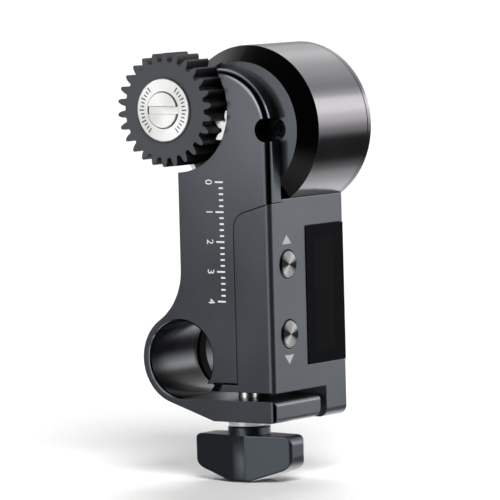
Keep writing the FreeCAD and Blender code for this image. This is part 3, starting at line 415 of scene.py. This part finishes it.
def drum_finish():
    """Glossy dark anodised turning, satin on its front faces."""
    t = start_material("drum_finish")
    where = object_space(t)
    cloud = t.noise(where, 60.0, 3.0)
    fine = t.noise(where, 6000.0, 2.0)
    front = within(t, facing(t)[1], -0.97, -0.9)
    round_colour = t.mix(cloud, rgb(DRUM_LEVEL * 0.92, DRUM_TINT), rgb(DRUM_LEVEL * 1.08, DRUM_TINT))
    front_colour = t.mix(cloud, rgb(DRUM_LEVEL * 0.55, COOL), rgb(DRUM_LEVEL * 0.65, COOL))
    rough = 0.16
    inputs = {
        "Base Color": t.mix(front, round_colour, front_colour),
        "Metallic": 1.0,
        "Roughness": t.mix_value(front, t.smooth(cloud, 0.2, 0.8, rough * 0.9, rough * 1.12), 0.3),
        "Normal": grain_normal(t, fine, 0.03, 0.01 * MM, 0.05 * MM),
    }
    return principled("drum_finish", t, inputs)


def polymer(name, level, rough, side_shade=1.0):
    """Matt moulded polymer with a fine texture; its sides may be given painted shade, darker than its front
    and back faces.
    """
    t = start_material(name)
    where = object_space(t)
    cloud = t.noise(where, 220.0, 5.0)
    fine = t.noise(where, 5200.0, 3.0)
    flat = t.smooth(t.math("ABSOLUTE", facing(t)[1]), 0.55, 0.9)
    face = t.mix(cloud, rgb(level * 0.9, COOL), rgb(level * 1.1, COOL))
    # painted shade: the sides take the given share of the faces' level
    side = t.mix(cloud, rgb(level * side_shade * 0.9, COOL), rgb(level * side_shade * 1.1, COOL))
    inputs = {
        "Base Color": t.mix(flat, side, face),
        "Roughness": rough,
        "Specular IOR Level": 0.3,
        "Normal": grain_normal(t, fine, 0.25, 0.03 * MM, 0.12 * MM),
    }
    return principled(name, t, inputs)


def ring_tangent(t, centre, axis):
    """Direction round an axis, for circular brushing, and the distance from it."""
    offset = t.vector("SUBTRACT", object_space(t), centre)
    around = t.vector("CROSS_PRODUCT", offset, axis)
    world = t.add(
        "ShaderNodeVectorTransform",
        {0: t.vector("NORMALIZE", around)},
        vector_type="VECTOR",
        convert_from="OBJECT",
        convert_to="WORLD",
    )
    return world.outputs[0], t.vector("LENGTH", around, output="Value")


def silver_finish():
    """Bright metal turned round the gear's axis: fine rings and a fan-shaped highlight."""
    t = start_material("silver_finish")
    level = 0.77
    tangent, radius = ring_tangent(t, tuple(centre_of("gear_disc")), (0, 1, 0))
    rings = t.math("SINE", t.math("MULTIPLY", radius, 9.0 / (0.1 * MM)))
    speck = t.noise(object_space(t), 4000.0, 3.0)
    inputs = {
        "Base Color": t.mix(speck, rgb(level * 0.93, SILVER_TINT), rgb(level * 1.03, SILVER_TINT)),
        "Metallic": 1.0,
        "Roughness": 0.44,
        "Anisotropic": 0.35,
        "Tangent": tangent,
        "Normal": grain_normal(t, rings, 0.08, 0.01 * MM, 0.12 * MM),
    }
    return principled("silver_finish", t, inputs)


def spun_button(name):
    """Button end spun round its axis: painted highlights in light and dark fans, broken by fine radial
    streaks.
    """
    t = start_material(name + "_finish")
    centre = tuple(centre_of(name))
    tangent, radius = ring_tangent(t, centre, (1, 0, 0))
    offset = t.vector("SUBTRACT", object_space(t), centre)
    unit = t.vector("NORMALIZE", t.vector("MULTIPLY", offset, (0, 1, 1)))
    _, y, z = t.split(unit)
    # painted highlight: light and dark fans round the axis, broken by radial streaks
    tall = t.math("ABSOLUTE", t.math("ADD", z, t.math("MULTIPLY", y, 0.12)))
    streak = t.math("SUBTRACT", t.noise(unit, 7.0, 4.0, 0.7), 0.5)
    fan_highlight = t.math("ADD", t.smooth(tall, 0.2, 0.9), t.math("MULTIPLY", streak, 0.45), clamp=True)
    rings = t.math("SINE", t.math("MULTIPLY", radius, 9.0 / (0.12 * MM)))
    inputs = {
        "Base Color": t.mix(fan_highlight, rgb(0.025), rgb(0.31)),
        "Metallic": 1.0,
        "Specular Tint": (0.0, 0.0, 0.0, 1.0),
        "Roughness": 0.42,
        "Anisotropic": 0.8,
        "Tangent": tangent,
        "Normal": grain_normal(t, rings, 0.1, 0.01 * MM, 0.12 * MM),
    }
    return principled(name + "_finish", t, inputs)


def steel(name, level, rough, tint=NEUTRAL):
    """Plain metal with faint streaks."""
    t = start_material(name)
    streak = t.noise(object_space(t), 1500.0, 4.0)
    inputs = {
        "Base Color": t.mix(streak, rgb(level * 0.88, tint), rgb(level * 1.06, tint)),
        "Metallic": 1.0,
        "Roughness": t.smooth(streak, 0.2, 0.8, rough * 0.8, rough * 1.25),
        "Normal": grain_normal(t, streak, 0.05, 0.01 * MM, 0.1 * MM),
    }
    return principled(name, t, inputs)


def plated(name, level, rough):
    """Satin nickel plating: part mirror, part milky, with a fine mottle."""
    t = start_material(name)
    mottle = t.noise(object_space(t), 1800.0, 4.0)
    inputs = {
        "Base Color": t.mix(mottle, rgb(level * 0.94), rgb(level)),
        "Metallic": 0.15,
        "Roughness": rough,
        "Normal": grain_normal(t, mottle, 0.05, 0.01 * MM, 0.12 * MM),
    }
    return principled(name, t, inputs)


def window_finish():
    """Black display window: deep gloss, with a faintly lighter rectangle where the panel lies."""
    t = start_material("window_finish")
    where = object_space(t)
    _, y, z = t.split(where)
    low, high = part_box("display_module")
    inside = 1.0
    for value, k in ((y, 1), (z, 2)):
        start = low[k] + DISPLAY_INSET
        end = high[k] - DISPLAY_INSET
        rise = (start - DISPLAY_BLUR, start + DISPLAY_BLUR)
        fall = (end - DISPLAY_BLUR, end + DISPLAY_BLUR)
        inside = t.product(inside, t.band(value, rise, fall))
    bevel = t.add("ShaderNodeBevel", {"Radius": 0.1 * MM}, samples=6)
    inputs = {
        "Base Color": t.mix(inside, (0.0006, 0.0007, 0.0016, 1.0), (0.0022, 0.0018, 0.0024, 1.0)),
        "Roughness": t.smooth(t.noise(where, 130.0, 4.0), 0.2, 0.8, 0.08, 0.16),
        "IOR": 1.08,
        "Normal": bevel.outputs[0],
    }
    return principled("window_finish", t, inputs)


def speckled(name, scale, detail, low, high, rough):
    """Plain matt colour with a fine speckle: ink and circuit boards."""
    t = start_material(name)
    colour = t.mix(t.noise(object_space(t), scale, detail), low, high)
    return principled(name, t, {"Base Color": colour, "Roughness": rough})


def ink(name, level):
    return speckled(name, 3500.0, 4.0, rgb(level * 0.9), rgb(level * 1.05), 0.55)


def dress_nodes():
    black = steel("black_steel_finish", 0.02, 0.4)
    bright = steel("bright_steel_finish", 0.85, 0.3)
    plain = steel("plain_steel_finish", 0.5, 0.35)
    board = speckled("board_finish", 2500.0, 2.0, (0.01, 0.07, 0.03, 1.0), (0.02, 0.12, 0.05, 1.0), 0.4)
    drum = drum_finish()
    silver = silver_finish()
    chip = polymer("chip_finish", 0.02, 0.45)
    finishes = {
        "front_frame": frame_finish(),
        "main_housing": housing_finish(),
        "rear_cover": Anodised("cover_finish", COVER_LEVEL, 0.48).done(),
        "motor_housing": drum,
        "motor_rear_cap": drum,
        "wing_knob": Anodised("knob_finish", KNOB_LEVEL, 0.3, edge=0.5 * MM, tint=KNOB_TINT).done(),
        # the gear's flanks get painted shade, 0.13 times the level of its faces
        "output_gear": polymer("gear_polymer_finish", GEAR_LEVEL, 0.6, side_shade=0.13),
        "gear_disc": silver,
        "gear_screw": silver,
        "clamp_washer": plated("washer_finish", 0.95, 0.25),
        "drive_pinion": plated("pinion_finish", 0.98, 0.4),
        "thread_insert": steel("brass_finish", 0.6, 0.3, BRASS_TINT),
        "display_window": window_finish(),
        "upper_button": spun_button("upper_button"),
        "lower_button": spun_button("lower_button"),
    }
    for name in ("output_shaft", "clamp_screw", "pinion_bearing", "gear_bearings"):
        finishes[name] = bright
    for name in ("gearbox_case", "motor_can", "gear_axle", "power_socket", "upper_switch", "lower_switch"):
        finishes[name] = plain
    for name in ("circuit_board", "socket_board", "encoder_board"):
        finishes[name] = board
    for name in ("board_chips", "display_module", "upper_plunger", "lower_plunger"):
        finishes[name] = chip
    for name, node in NODES.items():
        mesh = node.data
        mesh.materials.clear()
        mesh.materials.append(black if name.endswith("_screws") else finishes[name])
        for polygon in mesh.polygons:
            polygon.use_smooth = True


# ------------------------------------------------------------------ printed marks
def outline_piece(name, outlines, place, material, body):
    """Thin printed shapes: closed outlines in a face, in mm, given by place(u, v, lift)."""
    mesh = bpy.data.meshes.new(name)
    points = []
    faces = []
    for outline in outlines:
        first = len(points)
        count = len(outline)
        points += [place(u * MM, v * MM, INK_T) for u, v in outline]
        points += [place(u * MM, v * MM, -INK_SINK) for u, v in outline]
        faces.append(tuple(range(first, first + count)))
        faces.append(tuple(range(first + 2 * count - 1, first + count - 1, -1)))
        for k in range(count):
            n = (k + 1) % count
            faces.append((first + n, first + k, first + count + k, first + count + n))
    mesh.from_pydata(points, [], faces)
    mesh.materials.append(material)
    piece = bpy.data.objects.new(name, mesh)
    bpy.context.scene.collection.objects.link(piece)
    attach(piece, body)


def number(name, text, v, matrix, material):
    """A plain number in the built-in typeface, raised as thinly as a print and turned on its side."""
    curve = bpy.data.curves.new(name, "FONT")
    curve.body = text
    curve.size = NUMBER_SIZE * MM
    curve.extrude = INK_T
    curve.align_x = "CENTER"
    curve.align_y = "CENTER"
    curve.materials.append(material)
    piece = bpy.data.objects.new(name, curve)
    local = Matrix.Translation((NUMBER_X * MM, v * MM, 0)) @ Matrix.Rotation(math.radians(-90), 4, "Z")
    piece.matrix_world = matrix @ local
    bpy.context.scene.collection.objects.link(piece)
    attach(piece, "root")


def arrows(material):
    """Triangles over the upper and under the lower button."""
    right_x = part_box("main_housing")[1][0]
    front_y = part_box("front_frame")[0][1]

    def on_side(u, v, lift):
        return (right_x + lift, front_y + u, v)

    up = centre_of("upper_button").z / MM + ARROW_OFF_UP
    down = centre_of("lower_button").z / MM - ARROW_OFF_DOWN
    up_corners = [(ARROW_LEFT, up), (ARROW_RIGHT, up), (ARROW_MIDDLE, up + ARROW_RISE)]
    down_corners = [(ARROW_LEFT, down), (ARROW_MIDDLE, down - ARROW_RISE), (ARROW_RIGHT, down)]
    outline_piece("arrow_up", [up_corners], on_side, material, "root")
    outline_piece("arrow_down", [down_corners], on_side, material, "root")


def plate_scale(material):
    """Scale of ticks, in place of the plate's lettering."""
    front_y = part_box("front_frame")[0][1]

    def on_front(u, v, lift):
        return (u, front_y - lift, v)

    ticks = []
    for k in range(TICK_COUNT):
        v = TICK_START + k * TICK_PITCH
        start = TICK_SHORT_X if k % TICKS_PER_NUMBER else TICK_LONG_X
        low, high = v - TICK_HALF, v + TICK_HALF
        ticks.append([(start, high), (TICK_END_X, high), (TICK_END_X, low), (start, low)])
    outline_piece("plate_scale", ticks, on_front, material, "root")


def plate_numbers(material):
    """Plain numbers beside every fifth tick."""
    front_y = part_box("front_frame")[0][1]
    upright =Matrix(((1, 0, 0), (0, 0, -1), (0, 1, 0))).to_4x4()
    upright.translation = (0, front_y - 0.5 * INK_T, 0)
    for k, text in enumerate(("4", "3", "2", "1", "0")):
        v = TICK_START + k * TICKS_PER_NUMBER * TICK_PITCH
        number("plate_number_" + text, text, v, upright, material)


def disc_ticks(material):
    """Two arcs of engraved ticks, in place of the disc's lettering."""
    disc_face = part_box("gear_disc")[0][1]
    middle = centre_of("gear_disc")

    def on_disc(u, v, lift):
        return (middle.x + u, disc_face - lift, middle.z + v)

    ticks = []
    for arc in (0, 180):
        for k in range(-DISC_TICK_SIDE, DISC_TICK_SIDE + 1):
            angle = math.radians(arc + k * DISC_TICK_STEP)
            outer = DISC_TICK_OUT if k % DISC_TICKS_PER_LONG else DISC_TICK_LONG
            corners = (
                (DISC_TICK_IN, DISC_TICK_HALF_IN),
                (outer, DISC_TICK_HALF_OUT),
                (outer, -DISC_TICK_HALF_OUT),
                (DISC_TICK_IN, -DISC_TICK_HALF_IN),
            )
            ticks.append([(r * math.cos(angle + w), r * math.sin(angle + w)) for r, w in corners])
    outline_piece("disc_ticks", ticks, on_disc, material, "gear")


# ------------------------------------------------------------------ knob
def knob_ribs():
    """The round hub of the wing knob, which stands a little proud of both faces down to their lower edge."""
    # painted light: the hub's finish is a lighter copy of the knob's, 1.3 times its level, to even out its
    # darker reflection
    material = Anodised("knob_rib_finish", KNOB_LEVEL * 1.3, 0.55, edge=0.03 * MM, tint=KNOB_TINT).done()
    low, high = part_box("wing_knob")
    centre = centre_of("wing_knob")
    radius = (high[1] - low[1]) / 2 + RIB_PROUD
    levels = [(low[2] + RIB_RISE, 0.0)] + [(low[2] + rise * MM, inward * MM) for rise, inward in RIB_FOOT]
    ring = RIB_STEPS + 3
    for name, sign in (("knob_rib_front", -1), ("knob_rib_back", 1)):
        points = []
        for z, inward in levels:
            for k in range(RIB_STEPS + 1):
                u = RIB_HALF * (2 * k / RIB_STEPS - 1)
                v = math.sqrt(radius ** 2 - u ** 2) - inward
                points.append((centre.x + u, centre.y + sign * v, z))
            for u in (RIB_HALF, -RIB_HALF):
                points.append((centre.x + u, centre.y + sign * (radius - RIB_DEPTH), z))
        faces = []
        for row in range(len(levels) - 1):
            for k in range(ring):
                n = (k + 1) % ring
                faces.append((row * ring + k, row * ring + n, (row + 1) * ring + n, (row + 1) * ring + k))
        faces.append(tuple(reversed(range(ring))))
        faces.append(tuple(range((len(levels) - 1) * ring, len(levels) * ring)))
        if sign < 0:
            faces = [face[::-1] for face in faces]
        mesh = bpy.data.meshes.new(name)
        mesh.from_pydata(points, [], faces)
        mesh.materials.append(material)
        for k, polygon in enumerate(mesh.polygons):
            polygon.use_smooth = len(polygon.vertices) == 4 and k % ring < RIB_STEPS
        piece = bpy.data.objects.new(name, mesh)
        bpy.context.scene.collection.objects.link(piece)
        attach(piece, "thumb_screw")


# ------------------------------------------------------------------ studio
def floor():
    low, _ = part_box("wing_knob")
    half = FLOOR_SIZE / 2
    mesh = bpy.data.meshes.new("floor")
    corners = [(-half, -half, 0), (half, -half, 0), (half, half, 0), (-half, half, 0)]
    mesh.from_pydata(corners, [], [(0, 1, 2, 3)])
    plane = bpy.data.objects.new("floor", mesh)
    plane.location = (0, 0, low[2] - FLOOR_DROP)
    bpy.context.scene.collection.objects.link(plane)
    t = start_material("floor_finish")
    speck = t.noise(object_space(t), 30.0)
    colour = t.mix(speck, rgb(FLOOR_WHITE - 0.01), rgb(FLOOR_WHITE + 0.01))
    shader = t.add("ShaderNodeBsdfDiffuse", {"Color": colour})
    mesh.materials.append(finish_material("floor_finish", t, shader))
    plane.visible_glossy = False


def world():
    """Soft white studio: lit panels and dark gaps, as the gloss of the drum shows them."""
    scene_world = bpy.data.worlds.new("studio")
    bpy.context.scene.world = scene_world
    scene_world.use_nodes = True
    t = Tree(scene_world.node_tree)
    x, y, z = t.split(t.add("ShaderNodeTexCoord").outputs["Generated"])
    turn = t.math("ADD", t.math("DIVIDE", t.math("ARCTAN2", z, x), 2 * math.pi), 0.5)

    def levels(stops):
        return t.curve(turn, [((a + 180) / 360, level) for a, level in stops], TOP_LEVEL)

    # the half ahead: soft bands, a panel for the rounded edges and a glow straight ahead
    ahead = t.product(levels(AHEAD), t.smooth(y, -1.0, -0.5, 1.15, 0.2))
    panel = t.product(
        t.band(x, (-0.52, -0.38), (0.0, 0.12), PANEL_LEVEL),
        t.band(z, (0.02, 0.12), (0.5, 0.64)),
    )
    front = t.product(t.smooth(y, -0.97, -0.9, FRONT_LEVEL, 0.0), t.smooth(x, 0.0, 0.14, 1.0, 0.15))
    ahead = t.math("ADD", ahead, t.math("ADD", panel, front))

    # the half behind: the drum's bands, a glow straight behind and light from low behind
    behind = t.mix_value(t.smooth(y, 0.88, 0.96), levels(BEHIND), BACK_LEVEL)
    under = t.product(t.smooth(z, -0.22, -0.1, UNDER_LEVEL, 0.0), within(t, y, 0.72, 0.8))
    behind = t.math("ADD", behind, under)

    studio = t.mix_value(t.smooth(y, -0.1, 0.4), ahead, behind)
    overhead = t.product(t.math("POWER", t.math("MAXIMUM", z, 0.0), 3.0), FLOOR_LIGHT)
    path = t.add("ShaderNodeLightPath")
    level = t.mix_value(path.outputs["Is Diffuse Ray"], studio, overhead)
    level = t.mix_value(path.outputs["Is Camera Ray"], level, SEEN_WHITE)
    background = t.add("ShaderNodeBackground", {"Color": (1.0, 1.0, 1.0, 1.0), "Strength": level})
    output = t.add("ShaderNodeOutputWorld")
    t.tree.links.new(background.outputs[0], output.inputs["Surface"])


def lights():
    """Near softboxes for the metal's sheen, and the broad lights that throw the soft shade on the floor."""
    for name, (power, place, aim) in SOFTBOXES.items():
        lamp = bpy.data.lights.new(name, "AREA")
        lamp.energy = power
        lamp.size = SOFTBOX_SIZE
        box = bpy.data.objects.new(name, lamp)
        box.location = place
        box.rotation_euler = (Vector(aim) - Vector(place)).to_track_quat("-Z", "Y").to_euler()
        box.visible_camera = False
        box.visible_diffuse = False
        bpy.context.scene.collection.objects.link(box)
    for name, (way, share, softness) in BROAD_LIGHTS.items():
        way = Vector(way).normalized()
        lamp = bpy.data.lights.new(name, "SUN")
        lamp.energy = share * math.pi / (FLOOR_WHITE * way.z)
        lamp.angle = math.radians(softness)
        sun = bpy.data.objects.new(name, lamp)
        sun.rotation_euler = way.to_track_quat("Z", "Y").to_euler()
        sun.visible_glossy = False
        bpy.context.scene.collection.objects.link(sun)


def camera():
    yaw, pitch, roll = CAMERA_YAW, CAMERA_PITCH, CAMERA_ROLL
    ahead = Vector((-math.sin(yaw) * math.cos(pitch), math.cos(yaw) * math.cos(pitch), -math.sin(pitch)))
    side = ahead.cross(Vector((0, 0, 1))).normalized()
    up = side.cross(ahead)
    right = math.cos(roll) * side + math.sin(roll) * up
    top = -math.sin(roll) * side + math.cos(roll) * up
    data = bpy.data.cameras.new("camera")
    data.sensor_width = SENSOR_MM
    data.lens = LENS_MM
    data.clip_start = 0.01
    data.clip_end = 100.0
    obj = bpy.data.objects.new("camera", data)
    place = Matrix((right, top, -ahead)).transposed().to_4x4()
    place.translation = CAMERA_TARGET - ahead * CAMERA_DISTANCE
    obj.matrix_world = place
    bpy.context.scene.collection.objects.link(obj)
    bpy.context.scene.camera = obj


dress_nodes()
white = ink("print_finish", 0.75)
arrows(ink("arrow_finish", 0.36))
plate_scale(white)
disc_ticks(ink("engraving_finish", 0.05))
plate_numbers(white)
knob_ribs()
floor()
world()
lights()
camera()
bpy.context.scene.view_settings.view_transform = "Standard"
